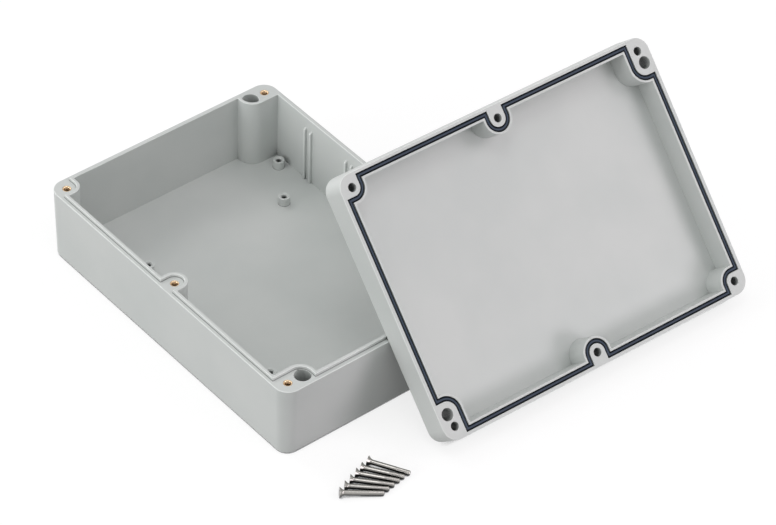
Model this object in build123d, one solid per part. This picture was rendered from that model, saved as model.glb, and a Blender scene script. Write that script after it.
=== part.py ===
from build123d import *
import os
from math import cos, sin, radians, atan2

os.makedirs("parts", exist_ok=True)

# outer shell, closed height 75
LENGTH = 250.0
WIDTH = 180.0
CORNER_R = 10.0
BASE_H = 54.0          # underside to the ledge the lid closes on
LID_H = 21.0           # rim to outer face
DRAFT = 1.25           # outside walls of the base, degrees
LID_DRAFT = 0.8
EDGE_R = 2.0           # rounding along the underside and the lid's outer face

# seal path: one centreline for the tongue, the groove and the gasket
SEAL_X = 120.85
SEAL_Y = 86.2
SCREW_X = 116.0        # lid screws at the corners and halfway along the long sides
SCREW_Y = 81.0
BOSS_R = 7.4           # path radius round a lid screw
MOUNT_X = 117.1        # centre of the wider bend that takes in a wall-mounting well
MOUNT_Y = 71.7
MOUNT_R = 9.1

# base tray
FLOOR_T = 4.2
TONGUE_W = 2.1
TONGUE_H = 2.2
WELL_X = 115.9         # wall-mounting well in two opposite corners
WELL_Y = 69.2
WELL_R = 5.6
WELL_HOLE_R = 2.4
INSERT_R = 3.0
INSERT_L = 9.6
INSERT_FLATS = 16      # splines that lock the insert in its hole
POST_X = 64.6          # circuit board posts
POST_Y_BACK = 58.0
POST_Y_FRONT = -54.2
CORNER_POST_X = 96.3
CORNER_POST_Y = 78.2
POST_R = 3.9
POST_H = 6.0
POST_HOLE_R = 1.8
RIB_X = (30.3, 73.2)   # centres of the guide rib pairs on both long walls
RIB_GAP = 5.9
RIB_T = 1.5
RIB_D = 2.0
RIB_TOP = 48.0

# lid
LID_T = 3.0
GROOVE_W = 3.4
GROOVE_D = 4.6
LIP_W = 1.4            # wall between the groove and the cavity
LID_BORE_R = 2.9       # screw bores, countersunk in the outer face
SEAT_R = 4.1
ACCESS_X = 117.6       # access hole over a wall-mounting well
ACCESS_Y = 72.4
ACCESS_R = 4.2

# gasket and countersunk screws M3.5 x 28
GASKET_TOP = 0.35      # below the rim
FIT = 0.04
SHANK_R = 1.75
HEAD_R = 3.65
HEAD_H = 2.35
SCREW_L = 28.0

# lid as it leans on the base: tilt from level, turn about Z, roll along its long edge
LID_TILT = 47.372
LID_TURN = -1.153
LID_ROLL = -0.449
LID_POS = (130.909, 116.208, 80.332)
CLEAR = 0.01           # left under everything that lies on the floor


def loop(half):
    """close an outline from the half that starts at the -Y side, repeated half a turn round"""
    half = Wire(half)
    return Face(Wire([*half.edges(), *half.rotate(Axis.Z, 180).edges()]))


def seal_face(off):
    """area inside the seal path moved inwards by off"""
    x, y = SEAL_X - off, SEAL_Y - off
    r, m = BOSS_R + off, MOUNT_R + off
    sx, sy, mx, my = SCREW_X, SCREW_Y, MOUNT_X, MOUNT_Y
    d = cos(radians(45))
    return loop([
        Line((-r, -y), (-r, -sy)),
        ThreePointArc((-r, -sy), (0, r - sy), (r, -sy)),
        Line((r, -sy), (r, -y)),
        Line((r, -y), (mx - m, -y)),
        Line((mx - m, -y), (mx - m, -my)),
        ThreePointArc((mx - m, -my), (mx - m * d, m * d - my), (mx, m - my)),
        Line((mx, m - my), (x, m - my)),
        Line((x, m - my), (x, sy - r)),
        Line((x, sy - r), (sx, sy - r)),
        ThreePointArc((sx, sy - r), (sx - r * d, sy - r * d), (sx - r, sy)),
        Line((sx - r, sy), (sx - r, y)),
        Line((sx - r, y), (r, y)),
    ])


def screw_points():
    """the six lid screws: four corners and the middle of both long sides"""
    return [(sx * SCREW_X, sy * SCREW_Y) for sx in (-1, 0, 1) for sy in (-1, 1)]


def opposite(x, y):
    """a point and its copy half a turn round"""
    return [(x, y), (-x, -y)]


def drilled(points, radius, z0, z1):
    """round cutters from z0 to z1"""
    tool = Cylinder(radius, z1 - z0, align=(Align.CENTER, Align.CENTER, Align.MIN))
    return [Pos(x, y, z0) * tool for x, y in points]


def rib(x, end):
    """one guide rib on a long wall, sloped off at the top"""
    wall = SEAL_Y - TONGUE_W / 2
    a, b, z0 = wall + 1.0, wall - RIB_D, FLOOR_T - 1.0
    side = Polyline((a, z0), (b, z0), (b, RIB_TOP - RIB_D), (wall, RIB_TOP), (a, RIB_TOP), close=True)
    flat = Plane.YZ * Face(Wire(side))
    body = Pos(x - RIB_T / 2, 0, 0) * extrude(flat, RIB_T, dir=(1, 0, 0))
    return body if end > 0 else body.rotate(Axis.Z, 180)


def ribs():
    """pairs of ribs that take the edge of an upright board"""
    xs = [s * x + t * RIB_GAP / 2 for s in (-1, 1) for x in RIB_X for t in (-1, 1)]
    return [rib(x, end) for x in xs for end in (-1, 1)]


def post_points():
    inner = [(s * POST_X, y) for s in (-1, 1) for y in (POST_Y_FRONT, POST_Y_BACK)]
    corner = [(s * CORNER_POST_X, t * CORNER_POST_Y) for s in (-1, 1) for t in (-1, 1)]
    return inner + corner


def post(x, y):
    """board post standing on the floor"""
    foot = FLOOR_T - 0.5
    return drilled([(x, y)], POST_R, foot, FLOOR_T + POST_H)[0]


def base():
    """tray with corner and side bosses, raised tongue, wells, posts and ribs"""
    body = extrude(Pos(0, 0, BASE_H) * RectangleRounded(LENGTH, WIDTH, CORNER_R), BASE_H,
                   dir=(0, 0, -1), taper=DRAFT)
    body = fillet(body.edges().group_by(Axis.Z)[0], EDGE_R)
    top = BASE_H + TONGUE_H
    tongue = extrude(Pos(0, 0, BASE_H - 1) * seal_face(-TONGUE_W / 2), TONGUE_H + 1)
    pocket = extrude(Pos(0, 0, FLOOR_T) * seal_face(TONGUE_W / 2), top)
    body = body + tongue - pocket
    body += [post(x, y) for x, y in post_points()]
    body += ribs()
    body -= drilled(post_points(), POST_HOLE_R, FLOOR_T - 1.5, BASE_H)
    body -= [Pos(x, y, BASE_H) * insert_body() for x, y in screw_points()]
    wells = opposite(WELL_X, -WELL_Y)
    body -= drilled(wells, WELL_R, FLOOR_T, BASE_H)
    body -= drilled(wells, WELL_HOLE_R, -1, FLOOR_T + 1)
    return body


def lid():
    """lid in its closed attitude: rim at z 0, outer face at LID_H"""
    body = extrude(RectangleRounded(LENGTH, WIDTH, CORNER_R), LID_H, taper=LID_DRAFT)
    body = fillet(body.faces().sort_by(Axis.Z)[-1].edges(), EDGE_R)
    cavity = extrude(seal_face(GROOVE_W / 2 + LIP_W), LID_H - LID_T)
    ring = extrude(seal_face(-GROOVE_W / 2) - seal_face(GROOVE_W / 2), GROOVE_D)
    body = body - cavity - ring
    body -= drilled(screw_points(), LID_BORE_R, 0, LID_H)
    seat = Cone(LID_BORE_R, SEAT_R, SEAT_R - LID_BORE_R, align=(Align.CENTER, Align.CENTER, Align.MAX))
    body -= [Pos(x, y, LID_H) * seat for x, y in screw_points()]
    body -= drilled(opposite(ACCESS_X, -ACCESS_Y), ACCESS_R, 0, LID_H)
    return body


def gasket():
    """cord that fills the lid's groove, crowned towards the rim"""
    w = GROOVE_W / 2 - FIT
    ring = extrude(seal_face(-w) - seal_face(w), GROOVE_D - GASKET_TOP)
    ring = Pos(0, 0, GASKET_TOP) * ring
    return chamfer(ring.faces().sort_by(Axis.Z)[0].edges(), 0.7)


def insert_body():
    """outside of an insert, splined all round, top at z 0"""
    return extrude(RegularPolygon(INSERT_R, INSERT_FLATS), INSERT_L, dir=(0, 0, -1))


def insert():
    """brass bush pressed into a boss"""
    return insert_body() - Cylinder(SHANK_R, INSERT_L, align=(Align.CENTER, Align.CENTER, Align.MAX))


def screw():
    """countersunk screw, head face at z 0, shank towards -Z"""
    down = (Align.CENTER, Align.CENTER, Align.MAX)
    return Cone(SHANK_R, HEAD_R, HEAD_H, align=down) + Cylinder(SHANK_R, SCREW_L, align=down)


def lid_place():
    """where the leaning lid sits: its long edge along Y, outer face on the base's rim"""
    t = radians(LID_TILT)
    frame = Plane((0, 0, 0), x_dir=(0, 1, 0), z_dir=(-sin(t), 0, -cos(t)))
    return Pos(*LID_POS) * Rot(0, 0, LID_TURN) * Rot(LID_ROLL, 0, 0) * frame.location


def screw_place(x, y, turn):
    """a screw lying on the floor: head face centred over x, y, tip pointing along turn"""
    tilt = atan2(HEAD_R - SHANK_R, SCREW_L)
    height = HEAD_R * cos(tilt) + CLEAR
    a = radians(turn)
    axis = (-cos(a) * cos(tilt), -sin(a) * cos(tilt), sin(tilt))
    return Plane((x, y, height), x_dir=(-sin(a), cos(a), 0), z_dir=axis).location


# the screws lie fanned out in front of the box
LYING = (
    (171.2, -83.3, 54.9),
    (168.6, -77.2, 50.7),
    (166.2, -71.0, 46.2),
    (164.0, -64.7, 42.1),
    (162.0, -58.8, 38.4),
    (160.1, -51.9, 33.2),
)


def save(shape, name):
    solids = shape.solids()
    assert len(solids) == 1, (name, len(solids))
    solids[0].label = name
    export_step(solids[0], "parts/" + name + ".step")
    print(name, round(solids[0].volume), solids[0].is_valid)
    return solids[0]


def main():
    save(base(), "base")
    place = lid_place()
    save(place * lid(), "lid")
    save(place * gasket(), "gasket")
    bush = insert()
    for n, (x, y) in enumerate(screw_points(), 1):
        save(Pos(x, y, BASE_H) * bush, "insert_%d" % n)
    one = screw()
    for n, spot in enumerate(LYING, 1):
        save(screw_place(*spot) * one, "screw_%d" % n)


main()
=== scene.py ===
import bmesh
import bpy
import numpy as np
from math import atan2, cos, radians, sin, tan
from mathutils import Euler, Matrix, Vector
from mathutils.geometry import tessellate_polygon


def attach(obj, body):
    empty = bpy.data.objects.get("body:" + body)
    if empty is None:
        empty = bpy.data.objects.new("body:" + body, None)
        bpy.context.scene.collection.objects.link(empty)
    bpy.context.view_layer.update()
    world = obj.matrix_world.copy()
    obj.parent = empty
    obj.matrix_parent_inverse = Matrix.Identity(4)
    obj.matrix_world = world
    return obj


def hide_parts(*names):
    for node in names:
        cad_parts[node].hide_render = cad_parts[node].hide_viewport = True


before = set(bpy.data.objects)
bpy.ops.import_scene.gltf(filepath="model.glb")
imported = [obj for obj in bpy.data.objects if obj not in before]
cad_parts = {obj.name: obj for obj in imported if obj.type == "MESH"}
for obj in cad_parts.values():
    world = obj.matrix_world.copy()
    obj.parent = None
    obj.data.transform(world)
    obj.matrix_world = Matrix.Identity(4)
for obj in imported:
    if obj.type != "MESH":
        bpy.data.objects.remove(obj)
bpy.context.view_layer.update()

mm = 0.001               # every size below is in millimetres, meshes are in metres

print("frame loaded:", len(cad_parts), "nodes")


# Surfaces


def ring(x, y, radius, steps=48):
    # circle about x, y: x + r cos a, y + r sin a
    a = np.linspace(0, 2 * np.pi, steps, endpoint=False)
    return np.stack([x + radius * np.cos(a), y + radius * np.sin(a)], -1)


def arc(x, y, radius, start, stop, steps):
    # part of a circle about x, y between two angles in degrees, both ends included
    a = np.radians(np.linspace(start, stop, steps + 1))
    return np.stack([x + radius * np.cos(a), y + radius * np.sin(a)], -1)


def softened(points, radii, steps=4):
    # polyline with its inner corners rounded: each corner B becomes an arc that touches both
    # sides at r / tan(half angle) from B, swept by a slerp between its two end radii
    points = np.array(points, float)
    rows = [points[:1]]
    for a, b, c, r in zip(points[:-2], points[1:-1], points[2:], radii):
        u, v = (a - b) / np.linalg.norm(a - b), (c - b) / np.linalg.norm(c - b)
        half = np.arccos(np.clip(u @ v, -1, 1)) / 2
        centre = b + (u + v) / np.linalg.norm(u + v) * r / np.sin(half)
        p, q = b + u * r / np.tan(half) - centre, b + v * r / np.tan(half) - centre
        sweep = np.pi - 2 * half
        t = np.linspace(0, 1, steps + 1)[:, None]
        rows.append(centre + (np.sin((1 - t) * sweep) * p + np.sin(t * sweep) * q) / np.sin(sweep))
    rows.append(points[-1:])
    return np.concatenate(rows)


def grid(loops, closed=True):
    # surface through rows of points: u runs from row to row, v runs round each row
    rows, n = loops.shape[:2]
    i = np.arange(rows - 1)[:, None] * n
    j = np.arange(n if closed else n - 1)[None, :]
    k = (j + 1) % n
    quads = np.stack([i + j, i + k, i + n + k, i + n + j], -1).reshape(-1, 4)
    return loops.reshape(-1, 3), quads.tolist()


def carried(profile, loopAt):
    # profile of (offset, height) pairs carried round the closed outline that loopAt gives
    return grid(np.stack([raised(loopAt(off), z) for off, z in profile]))


def raised(loop, z):
    # flat outline lifted to height z
    return np.column_stack([loop, np.full(len(loop), z)])


def turned(profile, x, y, steps=48):
    # profile of (radius, height) pairs turned about the upright line through x, y
    return carried(profile, lambda r: ring(x, y, r, steps))


def flat(z, outline, *holes):
    # plane at height z between an outline and the holes in it
    loops = [outline, *holes]
    faces = tessellate_polygon([[Vector((x, y, 0)) for x, y in loop] for loop in loops])
    return raised(np.concatenate(loops), z), [list(f) for f in faces]


def paintedLightOf(mesh):
    # painted light: a factor on the tint for each point of a closed mesh, a painted highlight along
    # roundings and painted shade in creases.
    # Along a rounding two edges bend out, or two bend back in a crease. Where it turns a corner both do,
    # and the pair that bends less is its own
    def read(items, key, kind, width=1):
        values = np.empty(len(items) * width, kind)
        items.foreach_get(key, values)
        return values.reshape(-1, width) if width > 1 else values

    points, corners = len(mesh.vertices), read(mesh.loops, "vertex_index", int)
    sides = read(mesh.polygons, "loop_total", int)
    faceOf = np.repeat(np.arange(len(sides)), sides)
    normal, centre = (read(mesh.polygons, key, float, 3) for key in ("normal", "center"))
    flats = (sides != 4) | (read(mesh.polygons, "area", float) > paintedLight["strip"] * mm ** 2)
    onFlat = np.bincount(corners[flats[faceOf]], minlength=points) > 0

    # the two faces of each edge, and how far the second bends back from the first
    a, b = faceOf[np.argsort(read(mesh.loops, "edge_index", int), kind="stable")].reshape(-1, 2).T
    bend = np.degrees(np.arccos(np.clip((normal[a] * normal[b]).sum(1), -1, 1)))
    outward = ((centre[b] - centre[a]) * normal[a]).sum(1) < 0
    ends = read(mesh.edges, "vertices", int, 2)

    def around(some):
        # how many of some edges meet at each point, and their bends together
        at, weight = ends[some].ravel(), np.repeat(bend[some], 2)
        return np.bincount(at, minlength=points), np.bincount(at, weight, points)

    bent = bend > paintedLight["bend"]
    (outs, outSum), (backs, backSum) = around(bent & outward), around(bent & ~outward)
    edge = (outs >= 2) & ((backs < 2) | (outSum < backSum))
    # painted highlight on edge points, painted shade in crease points, plain tint on flats
    return np.select([onFlat, edge, backs >= 2], [1.0, paintedLight["edge"], paintedLight["crease"]], 1.0)


def makePiece(name, parts, material, node, place=None, sharp=32):
    # one closed mesh from several surfaces: shared borders are welded, then turned outwards
    counts = np.cumsum([0] + [len(points) for points, _ in parts])
    points = np.concatenate([points for points, _ in parts])
    if place is not None:
        points = points @ np.array(place.to_3x3()).T + np.array(place.translation)
    faces = [[i + start for i in face] for start, (_, part) in zip(counts, parts) for face in part]
    mesh = bpy.data.meshes.new(name)
    mesh.from_pydata((points * mm).tolist(), [], faces)
    shell = bmesh.new()
    shell.from_mesh(mesh)
    bmesh.ops.remove_doubles(shell, verts=shell.verts, dist=weld * mm)
    bmesh.ops.recalc_face_normals(shell, faces=shell.faces)
    openEdges = sum(not e.is_manifold for e in shell.edges)
    shell.to_mesh(mesh)
    shell.free()
    # per point factor of painted highlight on rounded edges and painted shade in creases
    mesh.attributes.new("paintedLight", "FLOAT", "POINT").data.foreach_set("value", paintedLightOf(mesh))
    mesh.shade_smooth()
    mesh.set_sharp_from_angle(angle=radians(sharp))
    piece = bpy.data.objects.new(name, mesh)
    bpy.context.scene.collection.objects.link(piece)
    mesh.materials.append(material)
    evened = piece.modifiers.new("evened", "WEIGHTED_NORMAL")
    evened.keep_sharp = True
    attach(piece, "root")
    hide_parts(node)
    print(name, len(mesh.vertices), "points,", len(faces), "faces,", openEdges, "open edges")
    return piece


weld = 0.002             # points closer than this are one point
# painted highlight on rounded edges and painted shade in creases, as factors on the tint
paintedLight = dict(
    edge=1.25,           # times the tint on rounded edges, a painted highlight
    crease=0.3,          # times the tint in creases, painted shade
    bend=12.0,           # degrees between two strips
    strip=30.0,          # square mm, a larger face is a flat
)


# Materials


def linear(hexColour):
    # sRGB hex to the linear values that the shader works in
    c = np.array([int(hexColour[i:i + 2], 16) for i in (1, 3, 5)]) / 255
    low, high = c / 12.92, ((c + 0.055) / 1.055) ** 2.4
    return (*np.where(c <= 0.04045, low, high), 1.0)


def addNode(tree, kind, settings=None, **links):
    # one node: settings are its properties or socket values, links are sockets fed by others
    made = tree.nodes.new(kind)
    for key, value in (settings or {}).items():
        if key in made.inputs:
            made.inputs[key].default_value = value
        else:
            setattr(made, key, value)
    for key, source in links.items():
        tree.links.new(source, made.inputs[key.replace("_", " ")])
    return made


def newMaterial(name):
    material = bpy.data.materials.new(name)
    material.use_nodes = True
    material.node_tree.nodes.clear()
    return material, material.node_tree


def closeMaterial(tree, shader):
    addNode(tree, "ShaderNodeOutputMaterial", Surface=shader.outputs[0])


def paintedHollowShade(tree, hollow):
    # painted shade: dark where walls within reach, in mm, close a point in, and white where it lies
    # open. The tint runs from one to the other between the two shares of open sky
    near = addNode(tree, "ShaderNodeAmbientOcclusion", {"samples": 8, "Distance": hollow["reach"] * mm})
    ramp = addNode(tree, "ShaderNodeValToRGB", Fac=near.outputs["AO"])
    for stop, share, colour in zip(ramp.color_ramp.elements, hollow["sky"], (hollow["dark"], "#FFFFFF")):
        stop.position, stop.color = share, linear(colour)
    return ramp.outputs["Color"]


def withPaintedHollowShade(tree, colour, hollow):
    # colour times that painted shade
    product = addNode(tree, "ShaderNodeVectorMath", {"operation": "MULTIPLY"})
    tree.links.new(colour, product.inputs[0])
    tree.links.new(paintedHollowShade(tree, hollow), product.inputs[1])
    return product.outputs["Vector"]


def clouded(tree, noise, colours, stops=(0.0, 1.0)):
    # colour that runs between two hex values, from one share of a noise to the other
    ramp = addNode(tree, "ShaderNodeValToRGB", Fac=noise.outputs["Fac"])
    for stop, share, colour in zip(ramp.color_ramp.elements, stops, colours):
        stop.position, stop.color = share, linear(colour)
    return ramp.outputs["Color"]


# moulded polycarbonate in light grey: the eye sees a satin skin, fine spark-eroded grain that
# only shows as a soft sparkle, and slow clouds in the tint where the melt flowed
# Its colour also carries painted shade deep in holes and in creases, and a painted highlight on rounded
# edges
polycarbonate = dict(
    tint="#CACDCB", cloud="#C4C8C6",
    cloudSize=60.0,      # mm across one cloud
    cloudEdge=(0.35, 0.65),   # shares of the noise between which the two colours meet
    grainSize=0.55,      # mm, drawn coarser than the real 0.1 so that it shows
    grainDepth=0.012,    # mm
    grainLift=0.35,      # share of that depth which the light sees
    roughness=0.42, roughnessSwing=0.03, ior=1.585,
    hollow=dict(dark="#1E292C", reach=12.0, sky=(0.12, 0.28)),   # painted shade deep in the holes
)


def mouldedPolycarbonate():
    p = polycarbonate
    material, tree = newMaterial("moulded polycarbonate, light grey")
    where = addNode(tree, "ShaderNodeTexCoord").outputs["Object"]
    cloud = addNode(tree, "ShaderNodeTexNoise", {"Scale": 1 / (p["cloudSize"] * mm), "Detail": 3.0},
                    Vector=where)
    grain = addNode(tree, "ShaderNodeTexNoise", {"Scale": 1 / (p["grainSize"] * mm), "Detail": 2.0},
                    Vector=where)
    melt = clouded(tree, cloud, (p["cloud"], p["tint"]), p["cloudEdge"])
    gloss = addNode(tree, "ShaderNodeMapRange",
                    {"To Min": p["roughness"] - p["roughnessSwing"],
                     "To Max": p["roughness"] + p["roughnessSwing"]},
                    Value=grain.outputs["Fac"])
    bump = addNode(tree, "ShaderNodeBump",
                   {"Strength": p["grainLift"], "Distance": p["grainDepth"] * mm},
                   Height=grain.outputs["Fac"])
    # painted highlight on rounded edges and painted shade in creases scale the tint
    paintedLightFactor = addNode(tree, "ShaderNodeAttribute", {"attribute_name": "paintedLight"})
    tintWithPaintedLight = addNode(tree, "ShaderNodeVectorMath", {"operation": "SCALE"}, Scale=paintedLightFactor.outputs["Fac"])
    tree.links.new(melt, tintWithPaintedLight.inputs[0])
    # painted shade deep in holes darkens the colour
    withPaintedShade = withPaintedHollowShade(tree, tintWithPaintedLight.outputs["Vector"], p["hollow"])
    shader = addNode(tree, "ShaderNodeBsdfPrincipled", {"IOR": p["ior"]},
                     Base_Color=withPaintedShade, Roughness=gloss.outputs["Result"],
                     Normal=bump.outputs["Normal"])
    closeMaterial(tree, shader)
    return material


# foamed silicone cord, blue-black: matt with fine closed cells, paler along its crown as a painted
# highlight, and black on its flanks down in the groove as painted shade
foam = dict(
    crown="#3B4655", flank="#0F151E",
    crownFrom=0.8,       # cosine of the slope at which the crown begins
    cellSize=0.35, cellDepth=0.02,   # mm
    cellLift=0.3,        # share of that depth which the light sees
    roughness=0.5, ior=1.41, specular=0.3,
)


def foamedSilicone(facing):
    p = foam
    material, tree = newMaterial("foamed silicone, blue black")
    where = addNode(tree, "ShaderNodeTexCoord")
    cells = addNode(tree, "ShaderNodeTexVoronoi", {"Scale": 1 / (p["cellSize"] * mm)},
                    Vector=where.outputs["Object"])
    # painted highlight and shade: pale where the surface faces straight out of the groove, black on the
    # flanks
    up = addNode(tree, "ShaderNodeVectorMath", {"operation": "DOT_PRODUCT"})
    up.inputs[1].default_value = facing
    tree.links.new(where.outputs["Normal"], up.inputs[0])
    ramp = addNode(tree, "ShaderNodeValToRGB", Fac=up.outputs["Value"])
    flank, crown = ramp.color_ramp.elements
    flank.position, flank.color = p["crownFrom"], linear(p["flank"])
    crown.position, crown.color = 1.0, linear(p["crown"])
    bump = addNode(tree, "ShaderNodeBump", {"Strength": p["cellLift"], "Distance": p["cellDepth"] * mm},
                   Height=cells.outputs["Distance"])
    shader = addNode(tree, "ShaderNodeBsdfPrincipled",
                     {"IOR": p["ior"], "Roughness": p["roughness"], "Specular IOR Level": p["specular"]},
                     Base_Color=ramp.outputs["Color"], Normal=bump.outputs["Normal"])
    closeMaterial(tree, shader)
    return material


# free-machining brass, turned and knurled: warm yellow metal with fine rings from the tool
brass = dict(
    bright="#E6CFB0", dull="#C6A987",
    ringSize=0.25,       # mm
    gloss=(0.18, 0.32),  # roughness on the bright and on the dull rings
    hollow=dict(dark="#4A3A2A", reach=4.0, sky=(0.1, 0.55)),   # painted shade down the bore
)


def turnedBrass():
    p = brass
    material, tree = newMaterial("turned brass")
    where = addNode(tree, "ShaderNodeTexCoord").outputs["Object"]
    streaks = addNode(tree, "ShaderNodeTexNoise", {"Scale": 1 / (p["ringSize"] * mm), "Detail": 2.0},
                      Vector=where)
    gloss = addNode(tree, "ShaderNodeMapRange", {"To Min": p["gloss"][0], "To Max": p["gloss"][1]},
                    Value=streaks.outputs["Fac"])
    # painted shade down the bore darkens the colour
    withPaintedShade = withPaintedHollowShade(tree, clouded(tree, streaks, (p["dull"], p["bright"])), p["hollow"])
    shader = addNode(tree, "ShaderNodeBsdfPrincipled", {"Metallic": 1.0},
                     Base_Color=withPaintedShade, Roughness=gloss.outputs["Result"])
    closeMaterial(tree, shader)
    return material


# A2 stainless steel, cold headed and rolled: cool bright metal, slightly clouded by pickling
steel = dict(
    bright="#B4B1AD", dull="#A3A19D",
    cloudSize=3.0,       # mm
    gloss=(0.13, 0.21),  # roughness, least and most
    hollow=dict(dark="#24282C", reach=20.0, sky=(0.45, 0.95)),   # painted shade beside the next screw and on the undersides
)


def rolledStainless():
    p = steel
    material, tree = newMaterial("rolled stainless steel")
    where = addNode(tree, "ShaderNodeTexCoord").outputs["Object"]
    cloud = addNode(tree, "ShaderNodeTexNoise", {"Scale": 1 / (p["cloudSize"] * mm), "Detail": 3.0},
                    Vector=where)
    gloss = addNode(tree, "ShaderNodeMapRange", {"To Min": p["gloss"][0], "To Max": p["gloss"][1]},
                    Value=cloud.outputs["Fac"])
    # painted shade on the undersides and beside the next screw darkens the colour
    withPaintedShade = withPaintedHollowShade(tree, clouded(tree, cloud, (p["dull"], p["bright"])), p["hollow"])
    shader = addNode(tree, "ShaderNodeBsdfPrincipled", {"Metallic": 1.0},
                     Base_Color=withPaintedShade, Roughness=gloss.outputs["Result"])
    closeMaterial(tree, shader)
    return material


housingSkin = mouldedPolycarbonate()
insertSkin = turnedBrass()
screwSkin = rolledStainless()
print("materials ready")


# Outlines shared by the base, the lid and the gasket

box = dict(
    length=250.0, width=180.0, cornerR=10.0,
    baseHeight=54.0,     # underside to the ledge that the lid closes on
    lidHeight=21.0,      # rim to outer face
    baseDraft=1.25, lidDraft=0.8,
    edgeR=2.0,           # rounding along the underside and the lid's outer face
    lipR=0.45,           # rounding along the ledge and the rim
)
seal = dict(
    x=120.85, y=86.2,    # straight runs of the centreline
    screwX=116.0, screwY=81.0, bossR=7.4,      # it steps round each lid screw
    mountX=117.1, mountY=71.7, mountR=9.1,     # and wider round a wall-screw well
)
screwSpots = [(sx * seal["screwX"], sy * seal["screwY"]) for sx in (-1, 0, 1) for sy in (-1, 1)]


def shellLoop(inset, steps=12):
    # rounded rectangle moved inwards by inset, four straight sides and four quarter arcs
    a, b = box["length"] / 2 - inset, box["width"] / 2 - inset
    r = box["cornerR"] - inset
    corners = [(a - r, b - r, 0), (r - a, b - r, 90), (r - a, r - b, 180), (a - r, r - b, 270)]
    return np.concatenate([arc(x, y, r, t, t + 90, steps) for x, y, t in corners])


def sealLoop(off, steps=16):
    # centreline of the seal moved inwards by off: straight runs that step round each screw boss
    # and open into a wider bend at two corners. Half of it, then the same half turned round
    x, y = seal["x"] - off, seal["y"] - off
    r, m = seal["bossR"] + off, seal["mountR"] + off
    sx, sy, mx, my = seal["screwX"], seal["screwY"], seal["mountX"], seal["mountY"]
    half = np.concatenate([
        [(-r, -y)], arc(0, -sy, r, 180, 0, 2 * steps), [(r, -y), (mx - m, -y)],
        arc(mx, -my, m, 180, 90, steps), [(x, m - my), (x, sy - r)],
        arc(sx, sy, r, 270, 180, steps), [(sx - r, y)],
    ])
    return np.concatenate([half, -half])


# Base tray

tray = dict(
    floor=4.2, tongueW=2.1, tongueH=2.2,
    wellX=115.9, wellY=69.2, wellR=5.6, wellHoleR=2.4,
    mouthD=1.2,          # depth in which a well is cut back
    insertR=3.0, insertFit=0.02, insertDepth=9.6,
    postX=64.6, postBack=58.0, postFront=-54.2, cornerPostX=96.3, cornerPostY=78.2,
    postR=3.9, postH=6.0, postHoleR=1.8, postHoleD=1.5, postMouthR=2.5, postMouthD=0.7,
    ribX=(30.3, 73.2), ribGap=5.9, ribT=1.5, ribD=2.0, ribTop=48.0,
    ribSunk=0.4, ribFoot=0.5,        # how far a rib runs into the wall and the floor
    pins=((99.5, 58.4), (54.0, 78.7)), pinR=4.4, pinEdge=0.5, pinDepth=0.08,   # ejector marks
    # radius of each rounding
    soft=dict(tongue=0.4, foot=0.5, floor=0.03, wellHole=0.2, wellFloor=0.4, wellMouth=0.3,
              postFoot=0.25, postTop=0.15, postHole=0.1, insert=0.15, insertEnd=0.05, rib=0.4),
    # how far each profile runs out over the flat beside it
    over=dict(ledge=0.8, under=3.6, foot=0.05, floor=0.6, well=0.4, hole=0.25, post=0.4),
)


def wellLoop(x, y, radius, steps=48):
    # mouth of a well, cut back where the foot of the tongue bends round it
    loop = ring(x, y, radius, steps)
    bend = np.sign([x, y]) * (seal["mountX"], seal["mountY"])
    reach = seal["mountR"] - tray["tongueW"] / 2 - tray["soft"]["foot"] - tray["over"]["foot"]
    away = loop - bend
    far = np.linalg.norm(away, axis=1, keepdims=True)
    return bend + away * np.minimum(1, reach / far)


def wellSheet(x, y):
    # profile of hole, floor and wall turned about the well, then its mouth under the ledge
    p, top, soft, over = tray, box["baseHeight"], tray["soft"], tray["over"]
    below = softened([(p["wellHoleR"] + over["hole"], 0), (p["wellHoleR"], 0),
                      (p["wellHoleR"], p["floor"]), (p["wellR"], p["floor"]),
                      (p["wellR"], top - p["mouthD"])],
                     [soft["wellHole"], soft["wellHole"], soft["wellFloor"]])
    mouth = softened([(p["wellR"], top - p["mouthD"] / 2), (p["wellR"], top),
                      (p["wellR"] + over["well"], top)], [soft["wellMouth"]])
    rows = [raised(ring(x, y, r), z) for r, z in below]
    rows += [raised(wellLoop(x, y, r), z) for r, z in mouth]
    return grid(np.stack(rows))


def ribSheet(x, side):
    # guide rib: a rounded section carried up the wall, whose depth falls along a quarter circle,
    # depth = square root of 1 - height ** 2, in the last stretch
    p, sunk, t = tray, tray["ribSunk"], tray["ribT"] / 2
    wall, start = seal["y"] - p["tongueW"] / 2, p["ribTop"] - p["ribD"]
    head = np.sin(np.linspace(0.2, 1.5, 8))
    z = np.concatenate([[p["floor"] - p["ribFoot"], start], start + p["ribD"] * head])
    depth = np.concatenate([[1.0, 1.0], np.sqrt(1 - head ** 2)])
    section = softened([(-t, -sunk), (-t, 1), (t, 1), (t, -sunk)], [p["soft"]["rib"]] * 2)
    loops = np.empty((len(z), len(section), 3))
    loops[:, :, 0] = x + section[:, 0]
    out = np.where(section[None, :, 1] > 0, section[None, :, 1] * depth[:, None] * p["ribD"], -sunk)
    loops[:, :, 1] = side * (wall - out)
    loops[:, :, 2] = z[:, None]
    points, faces = grid(loops)
    n = len(section)
    return points, faces + [list(range(n)), list(range(len(points) - n, len(points)))]


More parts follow.
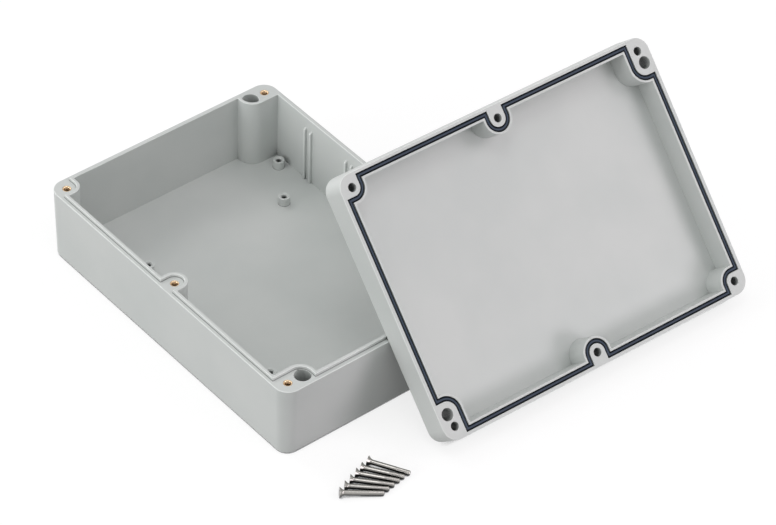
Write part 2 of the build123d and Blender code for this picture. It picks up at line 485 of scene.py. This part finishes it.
def makeBase():
    # outside wall and tongue are profiles carried round their outlines, and each post, hole and
    # mark is one turned about its axis. Flats fill what lies between
    p, top, soft, over = tray, box["baseHeight"], tray["soft"], tray["over"]
    w, floor = p["tongueW"] / 2, p["floor"]
    draft = top * tan(radians(box["baseDraft"]))
    posts = [(s * p["postX"], y) for s in (-1, 1) for y in (p["postFront"], p["postBack"])]
    posts += [(s * p["cornerPostX"], t * p["cornerPostY"]) for s in (-1, 1) for t in (-1, 1)]
    wells = [(p["wellX"], -p["wellY"]), (-p["wellX"], p["wellY"])]
    pins = [(s * x, t * y) for x, y in p["pins"] for s in (-1, 1) for t in (-1, 1)]

    wall = softened([(over["ledge"], top), (0, top), (draft, 0), (over["under"], 0)],
                    [box["lipR"], box["edgeR"]], 6)
    rim = softened([(-w - soft["foot"] - over["foot"], top), (-w, top), (-w, top + p["tongueH"]),
                    (w, top + p["tongueH"]), (w, floor), (w + over["floor"], floor)],
                   [soft["foot"], soft["tongue"], soft["tongue"], soft["floor"]])
    post = softened([(p["postR"] + over["post"], floor), (p["postR"], floor),
                     (p["postR"], floor + p["postH"]), (p["postMouthR"], floor + p["postH"]),
                     (p["postHoleR"], floor + p["postH"] - p["postMouthD"]),
                     (p["postHoleR"], floor - p["postHoleD"]), (0, floor - p["postHoleD"])],
                    [soft["postFoot"], soft["postTop"]] + [soft["postHole"]] * 3)
    socket = softened([(p["insertR"] + over["hole"], top), (p["insertR"] + p["insertFit"], top),
                       (p["insertR"] + p["insertFit"], top - p["insertDepth"]),
                       (0, top - p["insertDepth"])], [soft["insert"], soft["insertEnd"]])
    mark = [(p["pinR"], floor), (p["pinR"] - p["pinEdge"], floor - p["pinDepth"]),
            (0, floor - p["pinDepth"])]

    parts = [
        carried(wall, shellLoop),
        carried(rim, sealLoop),
        flat(top, shellLoop(wall[0][0]), sealLoop(rim[0][0]),
             *[ring(x, y, socket[0][0]) for x, y in screwSpots],
             *[wellLoop(x, y, p["wellR"] + over["well"]) for x, y in wells]),
        flat(0, shellLoop(wall[-1][0]), *[ring(x, y, p["wellHoleR"] + over["hole"]) for x, y in wells]),
        flat(floor, sealLoop(rim[-1][0]), *[ring(x, y, post[0][0]) for x, y in posts],
             *[ring(x, y, p["pinR"]) for x, y in pins]),
    ]
    parts += [turned(mark, x, y) for x, y in pins]
    parts += [turned(post, x, y) for x, y in posts]
    parts += [turned(socket, x, y) for x, y in screwSpots]
    parts += [wellSheet(x, y) for x, y in wells]
    ribs = [s * x + t * p["ribGap"] / 2 for s in (-1, 1) for x in p["ribX"] for t in (-1, 1)]
    parts += [ribSheet(x, side) for x in ribs for side in (-1, 1)]
    return makePiece("baseTray", parts, housingSkin, "base")


makeBase()


# Lid and gasket, made closed with the rim at height 0, then placed as the lid leans

lidShape = dict(
    thickness=3.0, grooveW=3.4, grooveD=4.6, lipW=1.4, boreR=2.9, seatR=4.1,
    accessX=117.6, accessY=72.4, accessR=4.2,
    # radius of each rounding
    soft=dict(edge=0.25, groove=0.2, hollow=0.03, seat=0.1, access=0.15),
    # how far each profile runs out over the flat beside it
    over=dict(rim=0.8, face=3.0, groove=0.3, hollow=0.6, bore=0.3, seat=0.12, access=0.2),
)
lean = dict(
    tilt=47.372, turn=-1.153, roll=-0.449,     # degrees
    spot=(130.909, 116.208, 80.332),
)


def lidPlace():
    # the lid's length lies along Y, its outer face on the base's rim, tilted from level
    t = radians(lean["tilt"])
    axes = Matrix(((0, 1, 0), (cos(t), 0, -sin(t)), (-sin(t), 0, -cos(t)))).transposed()
    turn = Matrix.Rotation(radians(lean["turn"]), 3, "Z")
    roll = Matrix.Rotation(radians(lean["roll"]), 3, "X")
    return Matrix.Translation(lean["spot"]) @ (turn @ roll @ axes).to_4x4()


def makeLid():
    # as the base: outside wall and groove carried round their outlines, bores and holes turned
    p, top, soft, over = lidShape, box["lidHeight"], lidShape["soft"], lidShape["over"]
    g, inner = p["grooveW"] / 2, p["grooveW"] / 2 + p["lipW"]
    deep = top - p["thickness"]
    draft = top * tan(radians(box["lidDraft"]))
    doors = [(p["accessX"], -p["accessY"]), (-p["accessX"], p["accessY"])]
    wall = softened([(over["rim"], 0), (0, 0), (draft, top), (over["face"], top)],
                    [box["lipR"], box["edgeR"]], 6)
    path = softened([(-g - over["groove"], 0), (-g, 0), (-g, p["grooveD"]), (g, p["grooveD"]), (g, 0),
                     (inner, 0), (inner, deep), (inner + over["hollow"], deep)],
                    [soft["edge"], soft["groove"], soft["groove"], soft["edge"], soft["edge"],
                     soft["hollow"]])
    bore = softened([(p["boreR"] + over["bore"], 0), (p["boreR"], 0),
                     (p["boreR"], top - p["seatR"] + p["boreR"]), (p["seatR"], top),
                     (p["seatR"] + over["seat"], top)], [soft["edge"], soft["seat"], soft["seat"]])
    door = softened([(p["accessR"] + over["bore"], 0), (p["accessR"], 0), (p["accessR"], top),
                     (p["accessR"] + over["access"], top)], [soft["edge"], soft["access"]])
    parts = [
        carried(wall, shellLoop),
        carried(path, sealLoop),
        flat(0, shellLoop(wall[0][0]), sealLoop(path[0][0]),
             *[ring(x, y, bore[0][0]) for x, y in screwSpots],
             *[ring(x, y, door[0][0]) for x, y in doors]),
        flat(top, shellLoop(wall[-1][0]),
             *[ring(x, y, bore[-1][0]) for x, y in screwSpots],
             *[ring(x, y, door[-1][0]) for x, y in doors]),
        flat(deep, sealLoop(path[-1][0])),
    ]
    parts += [turned(bore, x, y) for x, y in screwSpots]
    parts += [turned(door, x, y) for x, y in doors]
    return makePiece("lidShell", parts, housingSkin, "lid", lidPlace())


cord = dict(
    top=0.35, fit=0.04,  # below the rim and beside the groove's walls
    crown=1.5, power=2.2, steps=16,
)


def makeGasket():
    # the cord fills the groove: flat foot and sides, and a crown of height top + crown * s ** power
    # for s from 0 in the middle to 1, turned out of the lid, so along the lid's own -Z
    p = cord
    half, foot = lidShape["grooveW"] / 2 - p["fit"], lidShape["grooveD"]
    s = np.linspace(-1, 1, p["steps"] + 1)
    crown = np.stack([s * half, p["top"] + p["crown"] * np.abs(s) ** p["power"]], -1)
    section = np.concatenate([[(0, foot), (-half, foot)], crown, [(half, foot), (0, foot)]])
    facing = lidPlace().to_3x3() @ Vector((0, 0, -1))
    return makePiece("gasketCord", [carried(section, sealLoop)], foamedSilicone(facing),
                     "gasket", lidPlace(), sharp=60)


makeLid()
makeGasket()


# Threaded inserts

bushing = dict(
    outerR=2.98, mouthR=2.45, boreR=1.9, length=9.6, steps=36,
    threadD=0.22, pitch=0.6, rows=5,   # rows of points to a turn
    leadIn=0.7, threadEnd=0.4,         # plain at the mouth and at the lower end
    fade=0.5,                          # in which the thread grows to its depth
    sunk=0.1,                          # face under the ledge
    faceEdge=(0.12, 0.15), mouthEdge=(0.1, 0.02), bevel=0.3,
)


def makeInsert(number, x, y):
    # turned bush: face ring, lead-in and a bore whose radius follows the thread,
    # r = bore - depth * triangle wave of (z / pitch - angle / full turn)
    p, top = bushing, box["baseHeight"]
    face, bottom = top - p["sunk"], top - p["length"]
    (edgeW, edgeH), (mouthW, mouthH), bevel = p["faceEdge"], p["mouthEdge"], p["bevel"]
    a = np.linspace(0, 2 * np.pi, p["steps"], endpoint=False)
    z = np.arange(p["leadIn"], p["length"] - p["threadEnd"], p["pitch"] / p["rows"])
    phase = (z[:, None] / p["pitch"] - a[None, :] / (2 * np.pi)) % 1
    fade = np.clip((z - z[0]) / p["fade"], 0, 1)[:, None]
    r = p["boreR"] - p["threadD"] * fade * (1 - np.abs(2 * phase - 1))
    height = np.broadcast_to(top - z[:, None], r.shape)
    thread = np.stack([x + r * np.cos(a), y + r * np.sin(a), height], -1)
    outside = [(p["boreR"], bottom), (p["outerR"] - bevel, bottom), (p["outerR"], bottom + bevel),
               (p["outerR"], face - edgeH), (p["outerR"] - edgeW, face), (p["mouthR"] + mouthW, face),
               (p["mouthR"], face - mouthH), (p["boreR"], top - z[0])]
    rows = [raised(ring(x, y, radius, p["steps"]), h) for radius, h in outside]
    loops = np.concatenate([rows, thread, rows[:1]])
    return makePiece("insert%d" % number, [grid(loops)], insertSkin,
                     "insert_%d" % number, sharp=45)


for number, (x, y) in enumerate(screwSpots, 1):
    makeInsert(number, x, y)


# Countersunk screws

screw = dict(
    shankR=1.75, headR=3.63, headH=2.35, length=28.0, steps=40,
    faceEdge=((0.1, 0.0), (0.05, 0.03), (0.0, 0.12)),     # inside the head's edge, below its face
    edgeR=0.03, rim=0.15, rimR=0.05,
    taper=0.02, flareR=2.5, flareL=2.0,                   # shank under the head
    pitch=0.6, rows=5, threadD=0.12, threadL=10.0, threadEnd=0.5, fade=1.0,
    tip=((0.3, 0.3), (0.6, 0.0)),                         # inside the shank, above its end
    recess=1.7, recessR=1.9, recessTop=1.25,              # depth and slope of its floor
    slotW=0.75, slotEdge=0.25, faceRows=16,
    clear=0.01,          # between a screw and the table
)
lying = (                # head over x, y, and the way its tip points
    (171.2, -83.3, 54.9), (168.6, -77.2, 50.7), (166.2, -71.0, 46.2),
    (164.0, -64.7, 42.1), (162.0, -58.8, 38.4), (160.1, -51.9, 33.2),
)


def screwPlace(x, y, turn):
    # head rim and tip both touch the floor, so the axis tips down towards the shank's end
    tilt = atan2(screw["headR"] - screw["shankR"], screw["length"])
    a = radians(turn)
    axis = Vector((-cos(a) * cos(tilt), -sin(a) * cos(tilt), sin(tilt)))
    side = Vector((-sin(a), cos(a), 0))
    spot = Vector((x, y, screw["headR"] * cos(tilt) + screw["clear"]))
    return Matrix.Translation(spot) @ Matrix((side, axis.cross(side), axis)).transposed().to_4x4()


def makeScrew(number, spot):
    # one surface round the axis: recessed face, cone, plain neck, thread and rounded tip,
    # r = shank - depth * triangle wave of (z / pitch - angle / full turn)
    p = screw
    a = np.linspace(0, 2 * np.pi, p["steps"], endpoint=False)
    edge = [(p["headR"] - inside, -down) for inside, down in p["faceEdge"]]
    faceR = np.linspace(0, edge[0][0], p["faceRows"])[:, None]
    across = np.minimum(np.abs(faceR * np.sin(a)), np.abs(faceR * np.cos(a)))
    arm = np.clip((p["slotW"] / 2 - across) / p["slotEdge"] + 0.5, 0, 1)
    dip = -p["recess"] * arm * np.clip(p["recessTop"] - faceR / p["recessR"], 0, 1)
    face = np.stack([faceR * np.cos(a), faceR * np.sin(a), dip], -1)
    cone = softened([*edge[1:], (p["headR"], -p["rim"]), (p["shankR"] + p["taper"], -p["headH"]),
                     (p["shankR"], -p["headH"] - p["flareL"])],
                    [p["edgeR"], p["rimR"], p["flareR"]], 6)
    neck = np.stack([raised(ring(0, 0, r, p["steps"]), z) for r, z in cone])
    z = np.arange(p["length"] - p["threadL"], p["length"] - p["threadEnd"], p["pitch"] / p["rows"])
    phase = (z[:, None] / p["pitch"] - a[None, :] / (2 * np.pi)) % 1
    fade = np.clip((z - z[0]) / p["fade"], 0, 1)[:, None]
    r = p["shankR"] - p["threadD"] * fade * np.abs(2 * phase - 1)
    thread = np.stack([r * np.cos(a), r * np.sin(a), np.broadcast_to(-z[:, None], r.shape)], -1)
    tip = [(p["shankR"] - inside, up) for inside, up in p["tip"]] + [(0, 0)]
    end = np.stack([raised(ring(0, 0, r, p["steps"]), up - p["length"]) for r, up in tip])
    return makePiece("screw%d" % number, [grid(np.concatenate([face, neck, thread, end]))], screwSkin,
                     "screw_%d" % number, screwPlace(*spot), sharp=40)


for number, spot in enumerate(lying, 1):
    makeScrew(number, spot)


# Floor, light and camera

studio = dict(
    floor="#747474",     # table paint as it lights the object from below
    floorSize=6.0,       # metres
    shadePaint=0.25, shadeGlow=0.78,     # what the camera sees of it: with its light, white
    gap=dict(dark="#1B2026", reach=6.0, sky=(0.22, 0.42)),   # painted shadow: paint and glow darken under what lies close
    sky=0.59,            # light tent, as it lights the object
)
lamps = (                # name, place in metres, width in metres, watts, colour
    ("leftLow", (-2.1, -0.8, 0.4), 1.0, 7.0, "#FFFFFF"),
    ("leftHigh", (-1.6, -0.3, 1.7), 1.0, 6.9, "#FFFFFF"),
    ("frontLow", (-0.2, -2.2, 0.5), 1.0, 20.0, "#FFFFFF"),
    ("rightBack", (1.2, 1.2, 1.7), 1.0, 7.0, "#FFF3FA"),
    ("rightLow", (1.9, 0.9, 0.25), 1.0, 11.6, "#FFF6FC"),
    ("top", (0.4, -0.3, 2.3), 0.9, 6.0, "#FFFFFF"),
)
middle = Vector((0.04, 0.03, 0.05))      # where the lamps point, in metres


def shown(tree):
    # 1 for what the camera sees straight, in metal or through glass, 0 for light on the object
    ray = addNode(tree, "ShaderNodeLightPath")
    total = ray.outputs["Is Camera Ray"]
    for name in ("Is Glossy Ray", "Is Transmission Ray"):
        joined = addNode(tree, "ShaderNodeMath", {"operation": "MAXIMUM"})
        tree.links.new(total, joined.inputs[0])
        tree.links.new(ray.outputs[name], joined.inputs[1])
        total = joined.outputs[0]
    return total


def makeFloor():
    # studio table: the camera sees its paint and shadow plus the glow that is missing to white, both
    # darkened by a painted shadow under what lies close
    half = studio["floorSize"] / 2
    mesh = bpy.data.meshes.new("studioFloor")
    mesh.from_pydata([(-half, -half, 0), (half, -half, 0), (half, half, 0), (-half, half, 0)], [],
                     [(0, 1, 2, 3)])
    floor = bpy.data.objects.new("studioFloor", mesh)
    bpy.context.scene.collection.objects.link(floor)
    material, tree = newMaterial("studio floor, matt white")
    bounce = addNode(tree, "ShaderNodeBsdfDiffuse", {"Color": linear(studio["floor"])})
    # painted shadow: paint and glow both darken where the floor lies close under an object
    paintedFloorShadow = paintedHollowShade(tree, studio["gap"])
    parts = [addNode(tree, "ShaderNodeVectorMath", {"operation": "SCALE", "Scale": studio[name]})
             for name in ("shadePaint", "shadeGlow")]
    for part in parts:
        tree.links.new(paintedFloorShadow, part.inputs[0])
    paint = addNode(tree, "ShaderNodeBsdfDiffuse", Color=parts[0].outputs["Vector"])
    glow = addNode(tree, "ShaderNodeEmission", {"Strength": 1.0}, Color=parts[1].outputs["Vector"])
    both = addNode(tree, "ShaderNodeAddShader")
    pick = addNode(tree, "ShaderNodeMixShader", Fac=shown(tree))
    tree.links.new(paint.outputs[0], both.inputs[0])
    tree.links.new(glow.outputs[0], both.inputs[1])
    tree.links.new(bounce.outputs[0], pick.inputs[1])
    tree.links.new(both.outputs[0], pick.inputs[2])
    closeMaterial(tree, pick)
    mesh.materials.append(material)


def makeLight():
    # light tent all round, and soft lamps that lift the sides the tent leaves flat
    world = bpy.data.worlds.new("studio")
    bpy.context.scene.world = world
    world.use_nodes = True
    tree = world.node_tree
    tree.nodes.clear()
    strength = addNode(tree, "ShaderNodeMapRange", {"To Min": studio["sky"], "To Max": 1.0},
                       Value=shown(tree))
    glow = addNode(tree, "ShaderNodeBackground", Strength=strength.outputs["Result"])
    glow.inputs["Color"].default_value = (1, 1, 1, 1)
    addNode(tree, "ShaderNodeOutputWorld", Surface=glow.outputs[0])
    for name, place, width, power, colour in lamps:
        lamp = bpy.data.lights.new(name, "AREA")
        lamp.shape, lamp.size = "DISK", width
        lamp.energy, lamp.color = power, linear(colour)[:3]
        holder = bpy.data.objects.new(name, lamp)
        holder.location = place
        holder.rotation_euler = (middle - Vector(place)).to_track_quat("-Z", "Y").to_euler()
        bpy.context.scene.collection.objects.link(holder)


eye = dict(
    azimuth=49.65, elevation=41.512, roll=1.901,          # degrees
    lens=197.21, sensor=36.0,                             # mm
    place=(1.61184, -1.27396, 1.84848), reach=20.0,       # metres
)


def makeCamera():
    camera = bpy.data.objects.new("camera", bpy.data.cameras.new("camera"))
    camera.data.lens, camera.data.sensor_width = eye["lens"], eye["sensor"]
    camera.data.clip_end = eye["reach"]
    look = Euler((radians(90 - eye["elevation"]), 0, radians(eye["azimuth"]))).to_matrix()
    camera.rotation_euler = (look @ Matrix.Rotation(radians(eye["roll"]), 3, "Z")).to_euler()
    camera.location = eye["place"]
    bpy.context.scene.collection.objects.link(camera)
    bpy.context.scene.camera = camera


makeFloor()
makeLight()
makeCamera()
bpy.context.scene.view_settings.view_transform = "Standard"
print("floor, light and camera ready")
